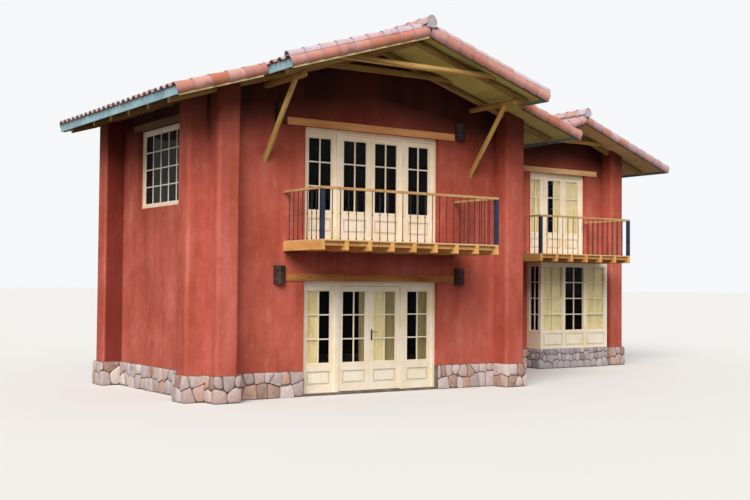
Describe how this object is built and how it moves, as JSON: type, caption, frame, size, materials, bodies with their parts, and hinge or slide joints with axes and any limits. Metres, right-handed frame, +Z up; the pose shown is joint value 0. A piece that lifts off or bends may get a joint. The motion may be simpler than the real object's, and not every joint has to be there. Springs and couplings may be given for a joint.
{
  "type": "adobe house",
  "caption": "Adobe house with a gabled main block and a rear wing, log framed tile roofs, balconies on joists, corner buttresses and a rubble stone plinth.",
  "frame": {"origin": "middle of the main block's plan, on the ground under its floor slab", "axes": "+X along the front to the right, +Y into the depth away from the main front, +Z up"},
  "size_m": [16.702, 10.565, 7.3042],
  "materials": {
    "adobe": "soft earthen plaster, terracotta red",
    "rubble": "rounded rubble in pink, grey and brown",
    "timber": "sawn timber, honey brown",
    "logs": "peeled logs",
    "boards": "sawn roof boards",
    "joinery": "cream painted timber",
    "painted_timber": "light blue painted timber",
    "clay_tile": "fired clay barrel tiles, mixed pink and orange",
    "iron": "dark wrought iron",
    "glazing": "clear window glass"
  },
  "bodies": {
    "house": {"main_plinth": "rubble", "wing_plinth": "rubble", "ground_floor": "rubble", "upper_floor": "timber", "front_wall_left": "adobe", "front_wall_right": "adobe", "front_wall_middle": "adobe", "front_gable": "adobe", "front_buttresses": "adobe", "left_wall": "adobe", "right_wall": "adobe", "back_wall": "adobe", "wing_front_wall": "adobe", "wing_side_wall": "adobe", "wing_back_wall": "adobe", "wing_inner_wall": "adobe", "lintels": "timber", "door_frame": "joinery", "door_hinges": "iron", "upper_door_frames": "joinery", "fixed_leaves": "joinery", "window_frames": "joinery", "bay_base": "rubble", "bay_window": "joinery", "glass": "glazing", "shutters": "joinery", "balcony_joists": "timber", "balcony_decks": "timber", "balcony_railings": "iron", "balcony_handrails": "timber", "main_rafters": "logs", "wing_rafters": "logs", "collar_logs": "logs", "porch_purlins": "logs", "knee_braces": "logs", "main_boards": "boards", "main_tiles": "clay_tile", "wing_boards": "boards", "wing_tiles": "clay_tile", "ridge_caps": "clay_tile", "fascias": "painted_timber", "wall_lamps": "iron"},
    "left_leaf": {"door_leaf_left": "joinery", "door_glass_left": "glazing", "door_shutter_left": "joinery"},
    "right_leaf": {"door_leaf_right": "joinery", "door_glass_right": "glazing", "door_shutters_right": "joinery", "door_handles": "iron"}
  },
  "joints": [
    {"name": "left_leaf_hinge", "type": "hinge", "parent": "house", "child": "left_leaf", "pos_m": [-0.752, -2.0807, 1.1], "axis": [0, 0, 1], "range_deg": [0, 95]},
    {"name": "right_leaf_hinge", "type": "hinge", "parent": "house", "child": "right_leaf", "pos_m": [0.752, -2.0807, 1.1], "axis": [0, 0, -1], "range_deg": [0, 95]}
  ]
}
